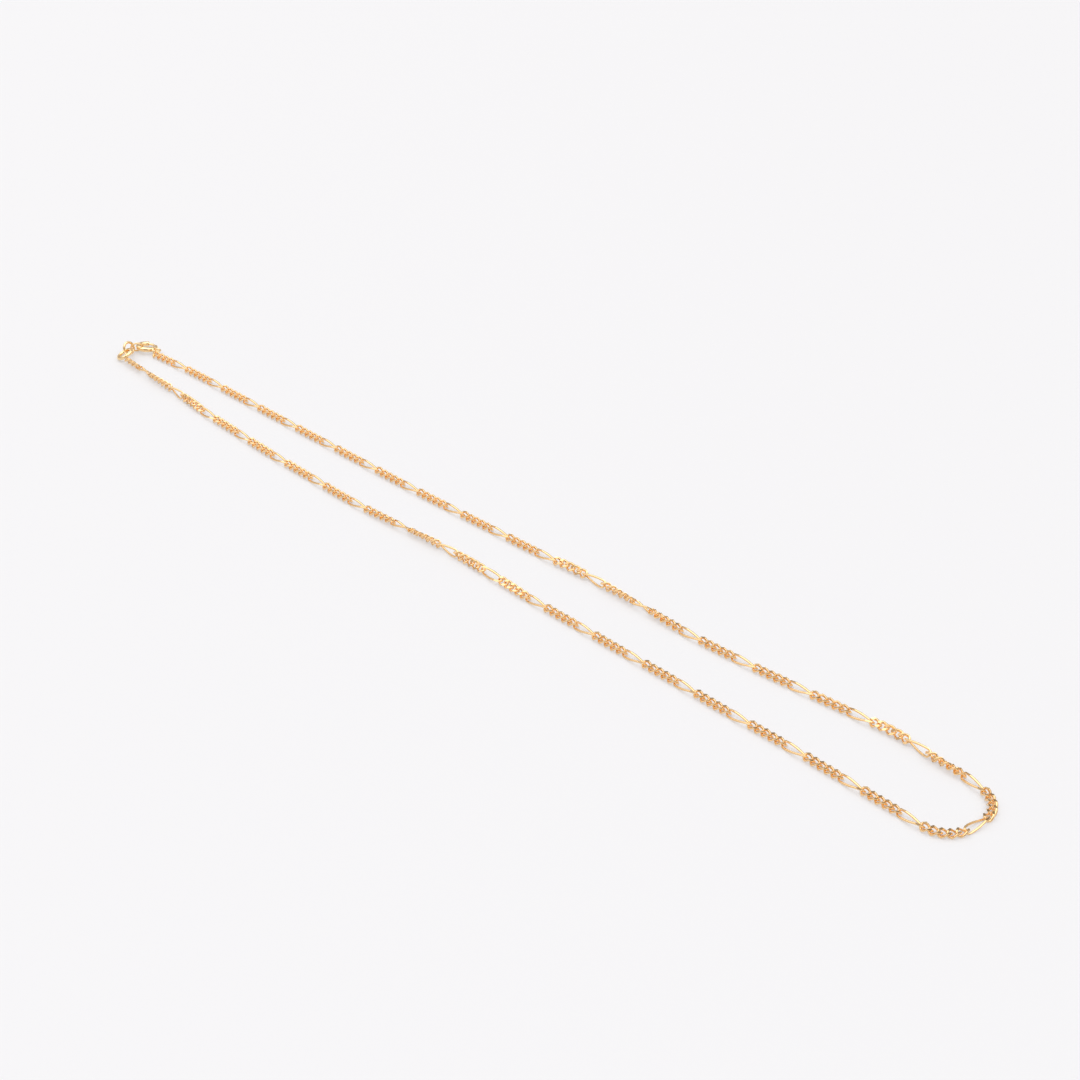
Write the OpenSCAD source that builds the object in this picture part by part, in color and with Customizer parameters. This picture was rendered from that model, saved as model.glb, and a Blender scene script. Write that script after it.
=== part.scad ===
/* [Links] */
// Side of the square wire that every link is bent from
wire = 0.37; // [0.35:0.01:0.38]
// Length that one short link adds to the chain
short_pitch = 1.61; // [1.59:0.01:1.7]
// Length that one long link adds to the chain
long_pitch = 5.1; // [4.6:0.1:5.6]
// Outer width of every link
link_w = 1.95; // [1.9:0.01:2.05]
// Radius of a link's two round ends, at the middle of the wire
end_r = 0.7; // [0.68:0.01:0.72]
// Roll of a link's ends, one to each side, which lets the links lie flat
end_roll = 45; // [42:1:48]
// Height of the chain between its filed faces
filed_h = 1.02; // [0.95:0.01:1.1]
// Free play between two linked ends
play = 0.3; // [0.28:0.01:0.34]

/* [Chain] */
// Short links between two long ones
shorts = 5; // [3:1:6]
// Long links in the whole chain
longs = 37; // [31:2:41]
// Short links ahead of the first long one
lead = 4; // [3:1:5]
// Short links behind the last long one
tail = 3; // [2:1:4]

/* [Bolt ring] */
// Outer diameter of the bolt ring
bolt_ring_d = 5.15; // [4.9:0.05:5.4]
// Diameter of its tube
tube_d = 1.15; // [1.05:0.05:1.2]
// Wall of the tube around the bolt
tube_wall = 0.2; // [0.15:0.01:0.22]
// Clearance of the bolt in the tube
bolt_gap = 0.1; // [0.08:0.01:0.12]
// Length of the bolt's travel
bolt_travel = 1.9; // [1.6:0.1:2]
// Diameter of the thumb piece
thumb_d = 0.6; // [0.5:0.05:0.7]
// Outer diameter of the eye soldered to the tube
eye_d = 1.9; // [1.8:0.05:2]

/* [Rings] */
// Outer diameter of the jump ring between the chain and the bolt ring's eye
eye_ring_d = 2.3; // [2.2:0.05:2.5]
// Outer diameter of the jump ring in the bolt ring
bolt_jump_d = 3.2; // [3.1:0.05:3.4]
// Outer diameter of the small end ring
small_ring_d = 3.3; // [3.2:0.05:3.5]
// Wire of the small end ring
small_ring_wire = 0.6; // [0.5:0.05:0.65]
// Outer diameter of the large end ring
large_ring_d = 4.25; // [4.1:0.05:4.5]
// Wire of the large end ring
large_ring_wire = 0.85; // [0.75:0.05:0.9]
// Outer diameter of the jump ring between the large end ring and the chain
end_jump_d = 2.7; // [2.6:0.05:2.9]
// Wire of the eye and of the three jump rings
ring_wire = 0.4; // [0.35:0.01:0.45]
// Clearance between linked rings
ring_gap = 0.13; // [0.12:0.01:0.15]

/* [Hidden] */

// Route of the chain on the table, seen from above, between the jump rings at its two ends
ROUTE = [[-104, 0.2], [-94, 0.4], [-68, 0.5], [-43, 0.8], [-30, 0.9], [-17, 1.2], [-4, 1.6],
         [9, 2], [22, 2.4], [35, 2.3], [48, 1.9], [61, 2.2], [74, 3], [87, 4], [96.7, 4.4], [104.2, 3.7],
         [108.3, 3.4], [114.2, 3.2], [117.6, 2.3], [120.1, 0.8], [121.7, -1.8], [121.9, -4.4], [121.7, -7.1],
         [120.9, -9.8], [118.9, -11.9], [115.7, -12.8], [110.9, -12.6], [97, -12.1], [83, -11.7],
         [70, -11.6], [57, -11.3], [44, -11.2], [31, -11], [18, -10.9], [5, -10.5], [-8, -10.4],
         [-21, -11], [-34, -11.4], [-47, -11.1], [-60, -10.8], [-73, -10.1], [-86, -9.4],
         [-100, -8.2], [-110, -7.5]];

// Roll of the chain about its own line: long links passed, degrees
LAY = [[-1, 0], [9, 0], [10, 90], [11, 142], [12, 180], [15, 186], [16, 274], [17, 358], [18, 360],
       [26, 360], [27, 325], [28, 262], [29, 206], [30, 180], [34, 172], [35, 90], [36, 44], [37, 44]];

// How each ring hangs from the one before it: its roll, pitch and heading where that one's wire
// passes, then how far round it the next one hangs
EYE_RING_SET = [-64.6, 20.2, -62.1, 84.4];
BOLT_JUMP_SET = [58.2, 32.3, -104.4, -20.5];
SMALL_RING_SET = [-66.4, -8.1, -80.2, 15];
LARGE_RING_SET = [26.1, -0.9, -47.6, 24.4];
END_JUMP_SET = [101.2, -19, -20, -11.6];
BOLT_RING_AT = [-118.9, 0.2];
// Middle of the necklace as laid out here, seen from above, which becomes the origin
MIDDLE = [0.6, -4.2];

end_a = (wire + play) / 2;
half_w = (link_w - wire) / 2;
// Half the angle of a link's round end, and how far its ends and sides run into each other
end_arc = 65;
weld = 0.12;
ARC_SIDES = 48;
n_links = lead + (longs - 1) * (shorts + 1) + 1 + tail;
n_far = lead + (longs - 1) / 2 * (shorts + 1);
chain_len = longs * long_pitch + (n_links - longs) * short_pitch;
// Share of its length by which each strand lies short of taut
far_slack = 0.0115;
near_slack = 0.006;

// Where the round end of a link meets its side
end_v = end_r * sin(end_arc);
corner_y = end_v * cos(end_roll);
corner_z = end_v * sin(end_roll);

function is_long(k) = k >= lead && (k - lead) % (shorts + 1) == 0 && k < n_links - tail;
function pitch_of(k) = is_long(k) ? long_pitch : short_pitch;

// Height of the chain's line above the table when it is rolled, with a lift where its links tilt
tilt_lift = 0.05;
function lying_h(roll) =
    max((half_w + wire / 2) * abs(sin(roll)) + wire / 2 * abs(cos(roll)),
        half_w * abs(sin(roll)) + filed_h / 2 * abs(cos(roll))) + tilt_lift * abs(sin(2 * roll));
function roll_of(k) = lookup((k - lead) / (shorts + 1), LAY);

// Bolt ring, which leans on the jump ring under its tube
bolt_ring_r = (bolt_ring_d - tube_d) / 2;
lean = 9.5;
lean_dir = 280;
lean_turn = [0, -lean, lean_dir];
ring_centre = [BOLT_RING_AT.x - MIDDLE.x, BOLT_RING_AT.y - MIDDLE.y,
               tube_d / 2 + bolt_ring_r * sin(lean)];
// Eye: its direction, how deep its wire is soldered into the tube, and where its jump ring pulls
eye_dir = 12;
eye_sink = 0.17;
eye_pull = -60;
eye_r = (eye_d - ring_wire) / 2;
eye_at = bolt_ring_r + tube_d / 2 + eye_r - eye_sink;
// Direction in which the bolt ring holds the jump ring
jump_dir = 254;

// A point at a distance and a heading in the bolt ring's leaning plane, and a rotation's effect
function turned(v, a) =
    let (x = [v.x, v.y * cos(a.x) - v.z * sin(a.x), v.y * sin(a.x) + v.z * cos(a.x)],
         y = [x.x * cos(a.y) + x.z * sin(a.y), x.y, x.z * cos(a.y) - x.x * sin(a.y)])
    [y.x * cos(a.z) - y.y * sin(a.z), y.x * sin(a.z) + y.y * cos(a.z), y.z];
function polar(r, a) = [r * cos(a), r * sin(a), 0];
function on_ring(r, a) = ring_centre + turned(polar(r, a - lean_dir), lean_turn);

// Each hanging ring: the wire it hangs from, its own centre line and wire, and its setting
function set_turn(set) = [set[0], -set[1], set[2]];
function hung(from, from_wire, r, ring_wire, set) =
    from + turned([r - (from_wire + ring_wire) / 2 - ring_gap, 0, 0], set_turn(set));
function next_hold(centre, r, set) = centre + turned(polar(r, set[3]), set_turn(set));

eye_ring_r = (eye_ring_d - ring_wire) / 2;
eye_ring_at = hung(on_ring(eye_at, eye_dir) + turned(polar(eye_r, eye_pull - lean_dir), lean_turn),
        ring_wire, eye_ring_r, ring_wire, EYE_RING_SET);
bolt_jump_r = (bolt_jump_d - ring_wire) / 2;
bolt_jump_at = hung(on_ring(bolt_ring_r, jump_dir), tube_d, bolt_jump_r, ring_wire, BOLT_JUMP_SET);
small_ring_r = (small_ring_d - small_ring_wire) / 2;
small_ring_at = hung(next_hold(bolt_jump_at, bolt_jump_r, BOLT_JUMP_SET),
        ring_wire, small_ring_r, small_ring_wire, SMALL_RING_SET);
large_ring_r = (large_ring_d - large_ring_wire) / 2;
large_ring_at = hung(next_hold(small_ring_at, small_ring_r, SMALL_RING_SET),
        small_ring_wire, large_ring_r, large_ring_wire, LARGE_RING_SET);
end_jump_r = (end_jump_d - ring_wire) / 2;
end_jump_at = hung(next_hold(large_ring_at, large_ring_r, LARGE_RING_SET),
        large_ring_wire, end_jump_r, ring_wire, END_JUMP_SET);

// Where the chain's first and last links hang from the two jump rings, and how far they slip there
chain_hang = (ring_wire + wire) / 2 + ring_gap - end_a;
START_SLIP = [0.06, 0.16, 0];
END_SLIP = [0.09, 0.04, 0];
chain_start = next_hold(eye_ring_at, eye_ring_r, EYE_RING_SET) - [chain_hang, 0, 0] - START_SLIP;
chain_end = next_hold(end_jump_at, end_jump_r, END_JUMP_SET) - [chain_hang, 0, 0] - END_SLIP;
function seen_from_above(p) = [p.x, p.y];
whole_route = concat([seen_from_above(chain_start)], [for (p = ROUTE) p - MIDDLE],
                     [seen_from_above(chain_end)]);

// Smooth curve through the route's points
STEPS = 10;
function pick(p, i) = p[min(max(i, 0), len(p) - 1)];
function curve(p) = [
    for (i = [0 : len(p) - 2]) for (j = [0 : STEPS - 1])
        let (t = j / STEPS, a = pick(p, i - 1), b = p[i], c = p[i + 1], d = pick(p, i + 2))
            0.5 * (2 * b + (c - a) * t + (2 * a - 5 * b + 4 * c - d) * t * t
                   + (3 * b - a - 3 * c + d) * t * t * t),
    p[len(p) - 1]];
function lengths(c, i = 0, sum = 0) =
    i >= len(c) ? [] : concat([sum], lengths(c, i + 1, sum + norm(pick(c, i + 1) - c[i])));
function last(list) = list[len(list) - 1];

// Distance along the route at which a length of the chain lies
far_len = (longs - 1) / 2 * long_pitch + (n_far - (longs - 1) / 2) * short_pitch;
function lie(s) = min(s, far_len) * (1 - far_slack) + max(s - far_len, 0) * (1 - near_slack);

// The route is stretched along the strands, in a few rounds, to the chain's own length
ROUNDS = 5;
function stretched(f) = [for (p = whole_route)
    p == last(whole_route) ? p : [chain_start.x + (p.x - chain_start.x) * f, p.y]];
function fitted(f, rounds) = rounds <= 0 ? f
    : fitted(f * lie(chain_len) / last(lengths(curve(stretched(f)))), rounds - 1);
line = curve(stretched(fitted(1, ROUNDS)));
line_s = lengths(line);
x_table = [for (i = [0 : len(line) - 1]) [line_s[i], line[i].x]];
y_table = [for (i = [0 : len(line) - 1]) [line_s[i], line[i].y]];

// Distance along the chain at which each joint lies, then the joint itself
function joint_s(k = 0, s = 0) = k > n_links ? [] : concat([s], joint_s(k + 1, s + pitch_of(k)));
joints_s = joint_s();
joints = [for (k = [0 : n_links]) let (d = lie(joints_s[k]))
    [lookup(d, x_table), lookup(d, y_table), lying_h(roll_of(k - 0.5))]];

module far_strand() {
    color("goldenrod") links(0, n_far - 1);
}

module near_strand() {
    color("darkgoldenrod") links(n_far, n_links - 1);
}

module links(first, final) {
    for (k = [first : final])
        let (a = joints[k], b = joints[k + 1], d = b - a)
            translate((a + b) / 2)
                rotate([roll_of(k), -atan2(d.z, norm([d.x, d.y])), atan2(d.y, d.x)])
                    link(pitch_of(k));
}

// One link: two round ends rolled to opposite sides, two bowed sides, and filed faces
module link(pitch) {
    a = pitch / 2 + end_a;
    corner_x = a - end_r + end_r * cos(end_arc);
    half_chord = norm([corner_x, corner_z]);
    bow = half_w - corner_y;
    side_r = (half_chord * half_chord + bow * bow) / (2 * bow);
    intersection() {
        union() for (t = [0, 180]) {
            rotate([-end_roll, t, 0])
                translate([a - end_r, 0, 0]) wire_arc(end_r, end_arc);
            rotate([t, 0, 0]) rotate([0, atan2(corner_z, corner_x), 0])
                translate([0, half_w - side_r, 0]) rotate([0, 0, 90])
                    wire_arc(side_r, asin(half_chord / side_r));
        }
        cube([2 * a + link_w, 2 * link_w, filed_h], center = true);
    }
}

module wire_arc(r, half) {
    more = weld / r * 180 / PI;
    rotate_extrude(angle = 2 * (half + more), start = -half - more, $fn = ARC_SIDES)
        translate([r, 0]) square(wire, center = true);
}

// Bolt ring: a bent tube with a mouth, a bored end in which the bolt slides, and an eye.
// Its places are directions round the ring, in degrees.
mouth_from = 52;
mouth_to = 130;
thumb_dir = 137;
bolt_tail = 195;
// How far the closed bolt's tip is in its socket, and the spare room ahead of it and behind it
tip_in = 6;
socket_room = 4;
bore_room = 10;
slot_room = 1;
// How far each hollow is cut past the mouth's edges
cut_past = 5;
stem_d = 0.3;

bolt_d = tube_d - 2 * tube_wall - 2 * bolt_gap;
bore_d = bolt_d + 2 * bolt_gap;
bolt_turn = bolt_travel / bolt_ring_r * 180 / PI;
slot_w = stem_d + 2 * bolt_gap;
slot_end = thumb_dir + bolt_turn + asin(slot_w / 2 / bolt_ring_r) + slot_room;
bore_end = bolt_tail + bolt_turn + bore_room;
tip_at = mouth_from - tip_in;
socket_end = tip_at - socket_room;
thumb_out = tube_d / 2 + bolt_gap + thumb_d / 2;

module bent_rod(d, from, to) {
    rotate_extrude(angle = to - from, start = from) translate([bolt_ring_r, 0]) circle(d = d);
}

module in_bolt_ring() {
    translate(ring_centre) rotate(lean_turn) rotate([0, 0, -lean_dir]) children();
}

module bolt_ring_case() {
    color("gold") in_bolt_ring() {
        difference() {
            bent_rod(tube_d, mouth_to, mouth_from + 360);
            bent_rod(bore_d, mouth_to - cut_past, bore_end);
            bent_rod(bore_d, socket_end, mouth_from + cut_past);
            rotate_extrude(angle = slot_end - mouth_to + cut_past, start = mouth_to - cut_past)
                translate([bolt_ring_r, -slot_w / 2]) square([tube_d, slot_w]);
        }
        rotate([0, 0, eye_dir]) translate([eye_at, 0, 0]) loop(eye_r, ring_wire);
    }
}

module bolt_ring_bolt() {
    color("khaki") in_bolt_ring() {
        bent_rod(bolt_d, tip_at, bolt_tail);
        rotate([0, 0, thumb_dir]) translate([bolt_ring_r, 0, 0]) {
            rotate([0, 90, 0]) cylinder(d = stem_d, h = thumb_out);
            translate([thumb_out, 0, 0]) sphere(d = thumb_d);
        }
    }
}

module eye_jump_ring() {
    color("orange") translate(eye_ring_at) rotate(set_turn(EYE_RING_SET)) loop(eye_ring_r, ring_wire);
}

module bolt_jump_ring() {
    color("orange") translate(bolt_jump_at) rotate(set_turn(BOLT_JUMP_SET)) loop(bolt_jump_r, ring_wire);
}

module small_end_ring() {
    color("peru") translate(small_ring_at) rotate(set_turn(SMALL_RING_SET))
        loop(small_ring_r, small_ring_wire);
}

module large_end_ring() {
    color("gold") translate(large_ring_at) rotate(set_turn(LARGE_RING_SET))
        loop(large_ring_r, large_ring_wire);
}

module end_jump_ring() {
    color("orange") translate(end_jump_at) rotate(set_turn(END_JUMP_SET)) loop(end_jump_r, ring_wire);
}

module loop(r, d) {
    rotate_extrude() translate([r, 0]) circle(d = d);
}

far_strand();
near_strand();
bolt_ring_case();
bolt_ring_bolt();
eye_jump_ring();
bolt_jump_ring();
small_end_ring();
large_end_ring();
end_jump_ring();
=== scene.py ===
"""The looks of a figaro chain necklace with its bolt ring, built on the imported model."""
import math

import bpy
from mathutils import Matrix, Vector


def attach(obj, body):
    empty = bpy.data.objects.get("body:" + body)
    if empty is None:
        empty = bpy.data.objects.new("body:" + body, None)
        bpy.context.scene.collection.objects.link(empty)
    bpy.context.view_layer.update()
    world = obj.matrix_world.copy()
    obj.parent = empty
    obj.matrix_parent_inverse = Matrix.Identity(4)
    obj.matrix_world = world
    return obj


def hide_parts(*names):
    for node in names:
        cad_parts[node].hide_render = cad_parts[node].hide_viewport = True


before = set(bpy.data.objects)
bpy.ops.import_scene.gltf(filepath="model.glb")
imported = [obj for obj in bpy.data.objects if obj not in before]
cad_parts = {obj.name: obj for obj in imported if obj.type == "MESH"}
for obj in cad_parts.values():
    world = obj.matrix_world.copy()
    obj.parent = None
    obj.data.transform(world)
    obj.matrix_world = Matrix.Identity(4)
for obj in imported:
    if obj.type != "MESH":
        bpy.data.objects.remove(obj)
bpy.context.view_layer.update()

MM = 0.001

# Links: the part's own pitch and lie, then the rounder, thicker wire that they are drawn with
SHORT_PITCH = 1.61
LONG_PITCH = 5.1
CAD_WIRE = 0.37
CAD_HALF_W = 0.79
CAD_END_A = 0.335
FILED_H = 1.02
TILT_LIFT = 0.05
SHORT_WIRE = 0.51
LONG_WIRE = 0.44
HALF_W = 0.76
END_R = 0.68
END_A = 0.33
END_ARC = 65
END_ROLL = 45
# How near a link's middle the edges of its straight sides have their own middle
MIDDLE_REACH = 0.01

# How far links lie off the part's own lie, in degrees: the roll of all, the pitch of a few
PLAY = 2
GROUP_END_PLAY = 5

# Chain
SHORTS = 5
LONGS = 37
LEAD = 4
TAIL = 3
LINKS = LEAD + (LONGS - 1) * (SHORTS + 1) + 1 + TAIL
FAR_LINKS = LEAD + (LONGS - 1) // 2 * (SHORTS + 1)
FAR_SLACK = 0.0115
NEAR_SLACK = 0.006
START_SLIP = (0.06, 0.16)
END_SLIP = (0.09, 0.04)
CURVE_STEPS = 10
ROUNDS = 5

# Route of the chain on the table and its roll, as the part has them
MIDDLE = (0.6, -4.2)
ROUTE = [(-104, 0.2), (-94, 0.4), (-68, 0.5), (-43, 0.8), (-30, 0.9), (-17, 1.2), (-4, 1.6),
         (9, 2), (22, 2.4), (35, 2.3), (48, 1.9), (61, 2.2), (74, 3), (87, 4), (96.7, 4.4), (104.2, 3.7),
         (108.3, 3.4), (114.2, 3.2), (117.6, 2.3), (120.1, 0.8), (121.7, -1.8), (121.9, -4.4), (121.7, -7.1),
         (120.9, -9.8), (118.9, -11.9), (115.7, -12.8), (110.9, -12.6), (97, -12.1), (83, -11.7),
         (70, -11.6), (57, -11.3), (44, -11.2), (31, -11), (18, -10.9), (5, -10.5), (-8, -10.4),
         (-21, -11), (-34, -11.4), (-47, -11.1), (-60, -10.8), (-73, -10.1), (-86, -9.4),
         (-100, -8.2), (-110, -7.5)]
LAY = [(-1, 0), (9, 0), (10, 90), (11, 142), (12, 180), (15, 186), (16, 274), (17, 358), (18, 360),
       (26, 360), (27, 325), (28, 262), (29, 206), (30, 180), (34, 172), (35, 90), (36, 44), (37, 44)]

# Bolt ring: its places round the ring are directions in degrees
TUBE_D = 1.15
BOLT_RING_R = 2.0
TUBE_WALL = 0.2
BOLT_GAP = 0.1
BOLT_D = TUBE_D - 2 * TUBE_WALL - 2 * BOLT_GAP
BORE_D = BOLT_D + 2 * BOLT_GAP
BOLT_TRAVEL = 1.9
BOLT_TURN = math.degrees(BOLT_TRAVEL / BOLT_RING_R)
MOUTH_FROM = 52
MOUTH_TO = 130
THUMB_DIR = 137
BOLT_TAIL = 195
TIP_AT = 46
SOCKET_END = 42
CUT_PAST = 5
SLOT_ROOM = 1
BORE_ROOM = 10
STEM_D = 0.3
THUMB_D = 0.6
THUMB_OUT = TUBE_D / 2 + BOLT_GAP + THUMB_D / 2
SLOT_W = STEM_D + 2 * BOLT_GAP
SLOT_END = THUMB_DIR + BOLT_TURN + math.degrees(math.asin(SLOT_W / 2 / BOLT_RING_R)) + SLOT_ROOM
BORE_END = BOLT_TAIL + BOLT_TURN + BORE_ROOM
LEAN = 9.5
LEAN_DIR = 280
BOLT_RING_AT = (-118.9, 0.2)
RING_CENTRE = Vector((BOLT_RING_AT[0] - MIDDLE[0], BOLT_RING_AT[1] - MIDDLE[1],
                      TUBE_D / 2 + BOLT_RING_R * math.sin(math.radians(LEAN))))

# Rings: radius of the centre line, wire, then roll, pitch and heading, and how far round the next
# ring hangs
RING_WIRE = 0.4
RING_GAP = 0.13
EYE_DIR = 12
EYE_R = 0.75
EYE_SINK = 0.17
EYE_AT = BOLT_RING_R + TUBE_D / 2 + EYE_R - EYE_SINK
EYE_PULL = -60
JUMP_DIR = 254
RING_SETS = {
    "eye_jump_ring": (0.95, RING_WIRE, (-64.6, 20.2, -62.1, 84.4)),
    "bolt_jump_ring": (1.4, RING_WIRE, (58.2, 32.3, -104.4, -20.5)),
    "small_end_ring": (1.35, 0.6, (-66.4, -8.1, -80.2, 15)),
    "large_end_ring": (1.7, 0.85, (26.1, -0.9, -47.6, 24.4)),
    "end_jump_ring": (1.15, RING_WIRE, (101.2, -19, -20, -11.6)),
}

# Finish of the clasp's edges, and the gap of a jump ring's seam
EDGE_ROUND = 0.035
EDGE_ANGLE = 50
EDGE_STEPS = 2
SEAM = 0.03

# Fineness: sides of a section, degrees between the sections of a bend, and the least corner that
# isn't smoothed, in degrees
LINK_SIDES = 20
LINK_WIRE_SIDES = 8
SHORT_CUTS = 2
LONG_CUTS = 5
TUBE_SIDES = 32
ROD_SIDES = 20
BEND_STEP = 5
BORE_STEP = 4
SOCKET_STEP = 3
EYE_SIDES = (40, 16)
END_RING_SIDES = (72, 28)
THUMB_SIDES = (24, 14)
SMOOTH_ANGLE = 40
LINK_SMOOTH_ANGLE = 75

# Gold: its colour and the deeper one of its clouds, then its roughness and what the clouds add
LINK_FINISH = ((1.0, 0.71, 0.38, 1), (0.97, 0.63, 0.3, 1), 0.1, 0.1)
CLASP_FINISH = ((0.99, 0.75, 0.43, 1), (0.96, 0.69, 0.36, 1), 0.07, 0.08)
CLOUD_SCALE = 900.0
CLOUD_DETAIL = 3.0
CLOUD_BUMP = 0.6
HAIR_SCALE = 5200.0
HAIR_DETAIL = 2.0
HAIR_ROUGHNESS = 0.6
HAIR_STRETCH = (1.0, 0.25, 1.0)
BUMP_STRENGTH = 0.12
BUMP_DISTANCE = 0.00002

# Table and lamp, in metres and watts
TABLE_SIZE = 12
TABLE_Z = -0.00003
TABLE_COLOUR = (0.4, 0.4, 0.4, 1)
TABLE_ROUGHNESS = 0.6
TABLE_GLOW = (0.97, 0.965, 0.99, 1)
TABLE_GLOW_STRENGTH = 0.42
LAMP_AT = (0.1, -0.15, 2.6)
LAMP_SIZE = (2.2, 1.8)
LAMP_POWER = 6

# Camera
CAMERA_AT = Vector((279.7, -270.0, 247.7))
LOOKING = Vector((-0.5951, 0.5984, -0.5364))
SENSOR_WIDTH = 36
LENS = 75.6
CLIP_START = 0.01

# White tent with a bright roof, open on the camera's side, with a dim gap across from it: the way
# that each part faces, the cosines between which it sets in, and its colour
WALLS = (0.55, 0.5, 0.46, 1)
TENT = (((0, 0, 1), 0.3, 0.8, (1.7, 1.71, 1.75, 1)),
        (-LOOKING, 0.8, 0.97, (0.3, 0.24, 0.19, 1)),
        ((-0.35, 0.66, 0.66), 0.935, 0.995, (0.25, 0.23, 0.22, 1)))


def turn(roll, pitch, heading):
    """Roll about X, then pitch about Y, then heading about Z, in degrees."""
    return (Matrix.Rotation(math.radians(heading), 3, "Z")
            @ Matrix.Rotation(math.radians(pitch), 3, "Y")
            @ Matrix.Rotation(math.radians(roll), 3, "X"))


def polar(r, a):
    """A point at a distance and a direction in the XY plane."""
    return Vector((r * math.cos(math.radians(a)), r * math.sin(math.radians(a)), 0))


LEANING = turn(0, -LEAN, LEAN_DIR) @ turn(0, 0, -LEAN_DIR)


def hung_rings():
    """Centre, turn and pull of each ring of the clasp, each hung from the one before it."""
    eye = RING_CENTRE + LEANING @ (polar(EYE_AT, EYE_DIR) + polar(EYE_R, EYE_PULL))
    holds = {"eye_jump_ring": (eye, RING_WIRE),
             "bolt_jump_ring": (RING_CENTRE + LEANING @ polar(BOLT_RING_R, JUMP_DIR), TUBE_D)}
    after = {"bolt_jump_ring": "small_end_ring", "small_end_ring": "large_end_ring",
             "large_end_ring": "end_jump_ring"}
    placed = {}
    for name, (r, wire, (roll, pitch, heading, out)) in RING_SETS.items():
        hold, hold_wire = holds[name]
        turned = turn(roll, -pitch, heading)
        centre = hold + turned @ Vector((r - (hold_wire + wire) / 2 - RING_GAP, 0, 0))
        placed[name] = (centre, turned)
        pull = centre + turned @ polar(r, out)
        if name in after:
            holds[after[name]] = (pull, wire)
        placed[name + " pull"] = pull
    return placed


RINGS = hung_rings()


def is_long(k):
    return k >= LEAD and (k - LEAD) % (SHORTS + 1) == 0 and k < LINKS - TAIL


def lookup(x, table):
    """The table's value at x, on a straight line between its entries."""
    if x <= table[0][0]:
        return table[0][1]
    for (x0, y0), (x1, y1) in zip(table, table[1:]):
        if x <= x1:
            return y0 + (y1 - y0) * (x - x0) / (x1 - x0) if x1 > x0 else y1
    return table[-1][1]


def roll_of(k):
    return lookup((k - LEAD) / (SHORTS + 1), LAY)


def lying_h(roll):
    """Height of the chain's line above the table when it is rolled."""
    s, c = abs(math.sin(math.radians(roll))), abs(math.cos(math.radians(roll)))
    on_wire = (CAD_HALF_W + CAD_WIRE / 2) * s + CAD_WIRE / 2 * c
    on_filed_face = CAD_HALF_W * s + FILED_H / 2 * c
    return max(on_wire, on_filed_face) + TILT_LIFT * 2 * s * c


def smooth(points):
    """Catmull-Rom curve through the points, and the length along it at each of its own."""
    line = []
    for i in range(len(points) - 1):
        a, b = points[max(i - 1, 0)], points[i]
        c, d = points[i + 1], points[min(i + 2, len(points) - 1)]
        for j in range(CURVE_STEPS):
            t = j / CURVE_STEPS
            line.append(0.5 * (2 * b + (c - a) * t + (2 * a - 5 * b + 4 * c - d) * t * t
                               + (3 * b - a - 3 * c + d) * t ** 3))
    line.append(points[-1])
    along = [0.0]
    for p, q in zip(line, line[1:]):
        along.append(along[-1] + (q - p).length)
    return line, along


def chain_joints():
    """Where each link meets the next, in millimetres."""
    hang = (RING_WIRE + CAD_WIRE) / 2 + RING_GAP - CAD_END_A
    start = (RINGS["eye_jump_ring pull"] - Vector((hang + START_SLIP[0], START_SLIP[1], 0))).to_2d()
    end = (RINGS["end_jump_ring pull"] - Vector((hang + END_SLIP[0], END_SLIP[1], 0))).to_2d()
    route = [start] + [Vector(p) - Vector(MIDDLE) for p in ROUTE] + [end]
    pitches = [LONG_PITCH if is_long(k) else SHORT_PITCH for k in range(LINKS)]
    far_len = sum(pitches[:FAR_LINKS])

    def lie(s):
        return min(s, far_len) * (1 - FAR_SLACK) + max(s - far_len, 0) * (1 - NEAR_SLACK)

    def stretched(f):
        return smooth([Vector((start.x + (p.x - start.x) * f, p.y)) for p in route[:-1]] + [end])

    f = 1.0
    for _ in range(ROUNDS):
        f *= lie(sum(pitches)) / stretched(f)[1][-1]
    line, along = stretched(f)
    line_x = [(a, p.x) for a, p in zip(along, line)]
    line_y = [(a, p.y) for a, p in zip(along, line)]
    joints, s = [], 0.0
    for k in range(LINKS + 1):
        d = lie(s)
        between = k - 0.5
        joints.append(Vector((lookup(d, line_x), lookup(d, line_y), lying_h(roll_of(between)))))
        s += pitches[k] if k < LINKS else 0
    return joints


JOINTS = chain_joints()


# Shader maths as plain expressions

# The colour sockets of a Mix node
MIX_A, MIX_B, MIX_RESULT = 6, 7, 2


class Sock:
    """A socket of a material's nodes, with the operators that add Math nodes."""

    def __init__(self, mat, socket):
        self.mat, self.socket = mat, socket

    def math(self, operation, other):
        return self.mat.add("ShaderNodeMath", {"operation": operation}, {0: self, 1: other})

    def __add__(self, other):
        return self.math("ADD", other)

    def __radd__(self, other):
        return self.math("ADD", other)

    def __rmul__(self, other):
        return self.math("MULTIPLY", other)


class Nodes:
    """The nodes of a material or world, added one by one with their settings and inputs."""

    def __init__(self, owner):
        owner.use_nodes = True
        self.data = owner
        self.tree = owner.node_tree
        self.tree.nodes.clear()

    def put(self, socket, value):
        if isinstance(value, Sock):
            self.tree.links.new(value.socket, socket)
        else:
            socket.default_value = value

    def add(self, kind, settings=None, inputs=None, output=0):
        node = self.tree.nodes.new(kind)
        for key, value in (settings or {}).items():
            setattr(node, key, value)
        for key, value in (inputs or {}).items():
            self.put(node.inputs[key], value)
        return Sock(self, node.outputs[output])

    def mix(self, factor, a, b):
        return self.add("ShaderNodeMix", {"data_type": "RGBA"},
                        {"Factor": factor, MIX_A: a, MIX_B: b}, MIX_RESULT)


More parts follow.
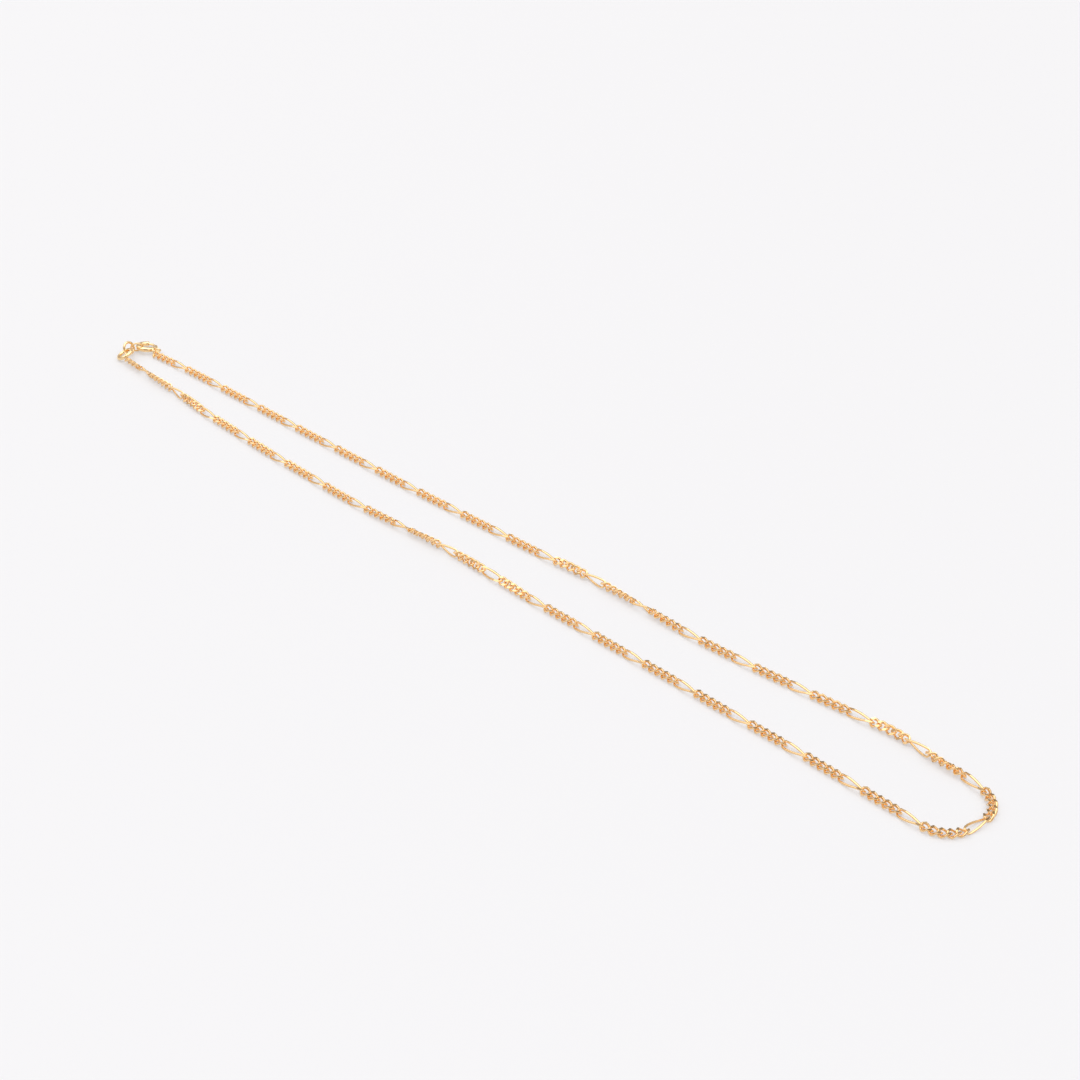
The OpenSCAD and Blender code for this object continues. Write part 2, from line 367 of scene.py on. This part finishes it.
class Material(Nodes):
    """A node material with one Principled shader."""

    def __init__(self, name):
        super().__init__(bpy.data.materials.new(name))
        out = self.tree.nodes.new("ShaderNodeOutputMaterial")
        self.shader = self.tree.nodes.new("ShaderNodeBsdfPrincipled")
        self.tree.links.new(self.shader.outputs[0], out.inputs[0])

    def feed(self, **inputs):
        for key, value in inputs.items():
            self.put(self.shader.inputs[key.replace("_", " ")], value)

    def noise(self, scale, detail, roughness=0.5, stretch=None):
        place = self.add("ShaderNodeTexCoord", output="Object")
        if stretch:
            place = self.add("ShaderNodeMapping", {}, {"Vector": place, "Scale": stretch})
        return self.add("ShaderNodeTexNoise", {},
                        {"Vector": place, "Scale": scale, "Detail": detail, "Roughness": roughness})

    def bump(self, height, strength, distance):
        return self.add("ShaderNodeBump", {}, {"Height": height, "Strength": strength, "Distance": distance})


def polished_gold(name, colour, deep, roughness, wear):
    """Polished yellow gold: slight clouding of its polish and hair-fine handling marks."""
    gold = Material(name)
    cloud = gold.noise(CLOUD_SCALE, CLOUD_DETAIL)
    hairs = gold.noise(HAIR_SCALE, HAIR_DETAIL, HAIR_ROUGHNESS, HAIR_STRETCH)
    gold.feed(Base_Color=gold.mix(cloud, colour, deep), Metallic=1.0,
              Roughness=roughness + wear * cloud,
              Normal=gold.bump(hairs + CLOUD_BUMP * cloud, BUMP_STRENGTH, BUMP_DISTANCE))
    return gold.data


LINK_GOLD = polished_gold("link_gold", *LINK_FINISH)
RING_GOLD = polished_gold("ring_gold", *CLASP_FINISH)
TUBE_GOLD = polished_gold("tube_gold", *CLASP_FINISH)


# Modelling, as by hand

def fresh():
    """Leaves edit mode and deselects everything."""
    if bpy.context.object and bpy.context.object.mode != "OBJECT":
        bpy.ops.object.mode_set(mode="OBJECT")
    bpy.ops.object.select_all(action="DESELECT")


def only(obj):
    """Leaves edit mode and selects the object alone."""
    fresh()
    obj.select_set(True)
    bpy.context.view_layer.objects.active = obj


def pick(obj, test, kind="VERT"):
    """Selects in edit mode the vertices, or the edges, whose centre passes the test."""
    bpy.ops.object.mode_set(mode="EDIT")
    bpy.ops.mesh.select_all(action="DESELECT")
    bpy.ops.mesh.select_mode(type=kind)
    bpy.ops.object.mode_set(mode="OBJECT")
    mesh = obj.data
    if kind == "VERT":
        for v in mesh.vertices:
            v.select = test(v.co)
    else:
        for e in mesh.edges:
            e.select = test((mesh.vertices[e.vertices[0]].co + mesh.vertices[e.vertices[1]].co) / 2)
    bpy.ops.object.mode_set(mode="EDIT")


def apply(obj, kind, **settings):
    """Adds a modifier and applies it."""
    if bpy.context.object.mode != "OBJECT":
        bpy.ops.object.mode_set(mode="OBJECT")
    mod = obj.modifiers.new(kind.lower(), kind)
    for key, value in settings.items():
        setattr(mod, key, value)
    bpy.ops.object.modifier_apply(modifier=mod.name)


def file_flat(height):
    """Cuts off the active object above the height and below its opposite, and closes the cuts."""
    for side in (1, -1):
        bpy.ops.object.mode_set(mode="EDIT")
        bpy.ops.mesh.select_all(action="SELECT")
        bpy.ops.mesh.bisect(plane_co=(0, 0, side * height), plane_no=(0, 0, side),
                            use_fill=True, clear_outer=True)
        bpy.ops.mesh.mark_sharp()
        bpy.ops.object.mode_set(mode="OBJECT")


def link(name, pitch, wire, cuts):
    """One link along X: a ring of wire, drawn out, twisted to lie flat, and filed."""
    fresh()
    reach = pitch / 2 + END_A - END_R
    bpy.ops.mesh.primitive_torus_add(major_radius=END_R * MM, minor_radius=wire / 2 * MM,
                                     major_segments=LINK_SIDES, minor_segments=LINK_WIRE_SIDES,
                                     rotation=(0, 0, math.pi / LINK_SIDES))
    obj = bpy.context.object
    obj.name = name
    bpy.ops.object.transform_apply(location=True, rotation=True, scale=True)
    for side in (1, -1):
        pick(obj, lambda co: co.x * side > 0)
        bpy.ops.transform.translate(value=(side * reach * MM, 0, 0))
    bpy.ops.object.mode_set(mode="OBJECT")
    pick(obj, lambda co: abs(co.x) < MIDDLE_REACH * MM, "EDGE")
    bpy.ops.mesh.subdivide(number_cuts=cuts)
    bpy.ops.object.mode_set(mode="OBJECT")

    # The sides bow out between the two round ends
    half_length = reach * MM + END_R * MM
    for v in obj.data.vertices:
        bow = max(0.0, 1 - abs(v.co.x) / half_length)
        v.co.y *= 1 + (HALF_W / END_R - 1) * math.sqrt(bow)

    # The twist lies between the two round ends, as shares of the link's length
    bend_from = reach + END_R * math.cos(math.radians(END_ARC))
    full = reach + END_R + wire / 2
    edge = 0.5 - bend_from / full / 2
    apply(obj, "SIMPLE_DEFORM", deform_method="TWIST", deform_axis="X",
          angle=math.radians(-2 * END_ROLL), limits=(edge, 1 - edge))
    file_flat(FILED_H / 2 * MM)
    return obj


def finish_piece(obj, name, material, *nodes, body="necklace", smooth_below=SMOOTH_ANGLE):
    """Smooths the piece's round faces, gives it its finish, and sets it on the CAD."""
    only(obj)
    bpy.ops.object.transform_apply(location=True, rotation=True, scale=True)
    bpy.ops.object.shade_smooth_by_angle(angle=math.radians(smooth_below), keep_sharp_edges=True)
    obj.name = name
    obj.data.name = name
    obj.data.materials.clear()
    obj.data.materials.append(material)
    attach(obj, body)
    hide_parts(*nodes)
    return obj


def copies(template, places):
    """A copy of the template, with its own mesh, at each place."""
    made = []
    for place in places:
        obj = bpy.data.objects.new("copy", template.data.copy())
        bpy.context.collection.objects.link(obj)
        obj.matrix_world = place
        made.append(obj)
    return made


def play(k):
    """Roll and pitch of a link away from its own lie, most at the left end of each group."""
    nth = (k - LEAD) % (SHORTS + 1)
    if k < FAR_LINKS:
        return PLAY * math.sin(k * k), GROUP_END_PLAY if nth == 1 else 0
    return PLAY * math.sin(k * k), -GROUP_END_PLAY if nth == SHORTS else 0


def link_place(k, template):
    """Place of a link on its two joints, lifted where it would sink into the table."""
    a, b = JOINTS[k], JOINTS[k + 1]
    d = b - a
    roll, pitch = play(k)
    turned = turn(roll_of(k) + roll, pitch - math.degrees(math.atan2(d.z, d.to_2d().length)),
                  math.degrees(math.atan2(d.y, d.x)))
    place = Matrix.Translation((a + b) / 2 * MM) @ turned.to_4x4()
    lowest = min((place @ v.co).z for v in template.data.vertices)
    return Matrix.Translation((0, 0, max(0, -lowest))) @ place


def strand(name, first, final, short, long):
    """The strand's links, each set on its two joints, joined to one piece."""
    made = copies(short, [link_place(k, short) for k in range(first, final) if not is_long(k)])
    made += copies(long, [link_place(k, long) for k in range(first, final) if is_long(k)])
    fresh()
    for obj in made:
        obj.select_set(True)
    bpy.context.view_layer.objects.active = made[0]
    bpy.ops.object.join()
    return finish_piece(bpy.context.object, name + "_links", LINK_GOLD, name,
                        smooth_below=LINK_SMOOTH_ANGLE)


short_link = link("short link", SHORT_PITCH, SHORT_WIRE, SHORT_CUTS)
long_link = link("long link", LONG_PITCH, LONG_WIRE, LONG_CUTS)
strand("far_strand", 0, FAR_LINKS, short_link, long_link)
strand("near_strand", FAR_LINKS, LINKS, short_link, long_link)
for template in (short_link, long_link):
    bpy.data.objects.remove(template)


# Clasp, modelled in millimetres about each piece's own centre

def bent_on(obj, start, end, every):
    """Sweeps the section, which stands on the XZ plane, round Z from one direction to another."""
    bpy.ops.object.transform_apply(location=True, rotation=True, scale=True)
    obj.rotation_euler.z = math.radians(start)
    bpy.ops.object.transform_apply(location=True, rotation=True, scale=True)
    bpy.ops.object.mode_set(mode="EDIT")
    bpy.ops.mesh.select_all(action="SELECT")
    bpy.ops.mesh.spin(steps=round((end - start) / every), angle=math.radians(start - end),
                      center=(0, 0, 0), axis=(0, 0, 1))
    bpy.ops.mesh.select_all(action="SELECT")
    bpy.ops.mesh.normals_make_consistent(inside=False)
    bpy.ops.object.mode_set(mode="OBJECT")
    return obj


def bent_rod(wire, r, start, end, around=ROD_SIDES, every=BEND_STEP):
    """A round rod bent about Z from one direction to another, with both ends closed."""
    fresh()
    bpy.ops.mesh.primitive_circle_add(vertices=around, radius=wire / 2, fill_type="NGON",
                                      location=(r, 0, 0), rotation=(math.pi / 2, 0, 0))
    return bent_on(bpy.context.object, start, end, every)


def cut(obj, other, operation="DIFFERENCE"):
    """Takes the other solid away from the object, or adds it, and removes the other."""
    only(obj)
    apply(obj, "BOOLEAN", object=other, operation=operation, solver="EXACT")
    bpy.data.objects.remove(other)


def round_edges(obj, width):
    apply(obj, "BEVEL", width=width, segments=EDGE_STEPS, limit_method="ANGLE",
          angle_limit=math.radians(EDGE_ANGLE), use_clamp_overlap=True)


def set_piece(obj, centre, turned):
    """Brings a piece from its own centre to its place on the necklace, in metres."""
    obj.matrix_world = Matrix.Translation(centre * MM) @ turned.to_4x4() @ Matrix.Scale(MM, 4)


def slot_cutter():
    """The bent bar that the slot of the thumb piece is cut with."""
    fresh()
    bpy.ops.mesh.primitive_plane_add(size=1, rotation=(math.pi / 2, 0, 0))
    obj = bpy.context.object
    obj.scale = (TUBE_D, SLOT_W, 1)
    obj.location = (BOLT_RING_R + TUBE_D / 2, 0, 0)
    return bent_on(obj, MOUTH_TO - CUT_PAST, SLOT_END, BORE_STEP)


def bolt_ring_case():
    """The bent tube with its mouth, bore, socket and slot, and the eye soldered to it."""
    case = bent_rod(TUBE_D, BOLT_RING_R, MOUTH_TO, MOUTH_FROM + 360, around=TUBE_SIDES)
    cut(case, bent_rod(BORE_D, BOLT_RING_R, MOUTH_TO - CUT_PAST, BORE_END, every=BORE_STEP))
    cut(case, bent_rod(BORE_D, BOLT_RING_R, SOCKET_END, MOUTH_FROM + CUT_PAST, every=SOCKET_STEP))
    cut(case, slot_cutter())
    only(case)
    round_edges(case, EDGE_ROUND)
    fresh()
    bpy.ops.mesh.primitive_torus_add(major_radius=EYE_R, minor_radius=RING_WIRE / 2,
                                     major_segments=EYE_SIDES[0], minor_segments=EYE_SIDES[1],
                                     location=polar(EYE_AT, EYE_DIR))
    cut(case, bpy.context.object, "UNION")
    set_piece(case, RING_CENTRE, LEANING)
    return finish_piece(case, "bolt_ring_tube", TUBE_GOLD, "bolt_ring_case")


def bolt_ring_bolt():
    """The sprung bolt with its stem and round thumb piece."""
    bolt = bent_rod(BOLT_D, BOLT_RING_R, TIP_AT, BOLT_TAIL)
    round_edges(bolt, 2 * EDGE_ROUND)
    outward = (0, math.pi / 2, math.radians(THUMB_DIR))
    fresh()
    bpy.ops.mesh.primitive_cylinder_add(vertices=ROD_SIDES, radius=STEM_D / 2, depth=THUMB_OUT,
                                        location=polar(BOLT_RING_R + THUMB_OUT / 2, THUMB_DIR),
                                        rotation=outward)
    cut(bolt, bpy.context.object, "UNION")
    fresh()
    bpy.ops.mesh.primitive_uv_sphere_add(segments=THUMB_SIDES[0], ring_count=THUMB_SIDES[1],
                                         radius=THUMB_D / 2,
                                         location=polar(BOLT_RING_R + THUMB_OUT, THUMB_DIR),
                                         rotation=outward)
    cut(bolt, bpy.context.object, "UNION")
    set_piece(bolt, RING_CENTRE, LEANING)
    return finish_piece(bolt, "sprung_bolt", TUBE_GOLD, "bolt_ring_bolt", body="bolt")


def jump_ring(node):
    """A ring of bent wire whose two cut ends meet in a fine seam."""
    r, wire, _ = RING_SETS[node]
    seam = math.degrees(SEAM / r)
    ring = bent_rod(wire, r, seam / 2, 360 - seam / 2)
    round_edges(ring, EDGE_ROUND)
    set_piece(ring, *RINGS[node])
    return finish_piece(ring, node + "_wire", RING_GOLD, node)


def end_ring(node):
    """A ring of thick wire, soldered closed."""
    r, wire, _ = RING_SETS[node]
    fresh()
    bpy.ops.mesh.primitive_torus_add(major_radius=r, minor_radius=wire / 2,
                                     major_segments=END_RING_SIDES[0],
                                     minor_segments=END_RING_SIDES[1])
    ring = bpy.context.object
    set_piece(ring, *RINGS[node])
    return finish_piece(ring, node + "_wire", RING_GOLD, node)


bolt_ring_case()
bolt_ring_bolt()
for node in ("eye_jump_ring", "bolt_jump_ring", "end_jump_ring"):
    jump_ring(node)
for node in ("small_end_ring", "large_end_ring"):
    end_ring(node)

# Table

fresh()
bpy.ops.mesh.primitive_plane_add(size=TABLE_SIZE, location=(0, 0, TABLE_Z))
table = bpy.context.object
table.name = "table"
paper = Material("white_table")
paper.feed(Base_Color=TABLE_COLOUR, Roughness=TABLE_ROUGHNESS,
           Emission_Color=TABLE_GLOW, Emission_Strength=TABLE_GLOW_STRENGTH)
table.data.materials.append(paper.data)

# Light

lamp_data = bpy.data.lights.new("overhead", "AREA")
lamp_data.shape = "RECTANGLE"
lamp_data.size, lamp_data.size_y = LAMP_SIZE
lamp_data.energy = LAMP_POWER
lamp = bpy.data.objects.new("overhead", lamp_data)
bpy.context.collection.objects.link(lamp)
lamp.location = LAMP_AT
lamp.rotation_euler = (-Vector(LAMP_AT)).to_track_quat("-Z", "Y").to_euler()

world = bpy.data.worlds.new("tent")
bpy.context.scene.world = world
bpy.context.scene.view_settings.view_transform = "Standard"
tent = Nodes(world)
direction = tent.add("ShaderNodeTexCoord", output="Generated")
cloth = WALLS
for way, start, full, colour in TENT:
    facing = tent.add("ShaderNodeVectorMath", {"operation": "DOT_PRODUCT"}, {0: direction, 1: way}, "Value")
    share = tent.add("ShaderNodeMapRange", {"interpolation_type": "SMOOTHSTEP"},
                     {0: facing, 1: start, 2: full})
    cloth = tent.mix(share, cloth, colour)
sky = tent.add("ShaderNodeBackground", {}, {"Color": cloth})
tent.tree.links.new(sky.socket, tent.tree.nodes.new("ShaderNodeOutputWorld").inputs[0])

# Camera

camera_data = bpy.data.cameras.new("camera")
camera_data.sensor_width = SENSOR_WIDTH
camera_data.lens = LENS
camera_data.clip_start = CLIP_START
camera = bpy.data.objects.new("camera", camera_data)
bpy.context.collection.objects.link(camera)
camera.location = (CAMERA_AT - Vector((*MIDDLE, 0))) * MM
camera.rotation_euler = LOOKING.to_track_quat("-Z", "Y").to_euler()
bpy.context.scene.camera = camera
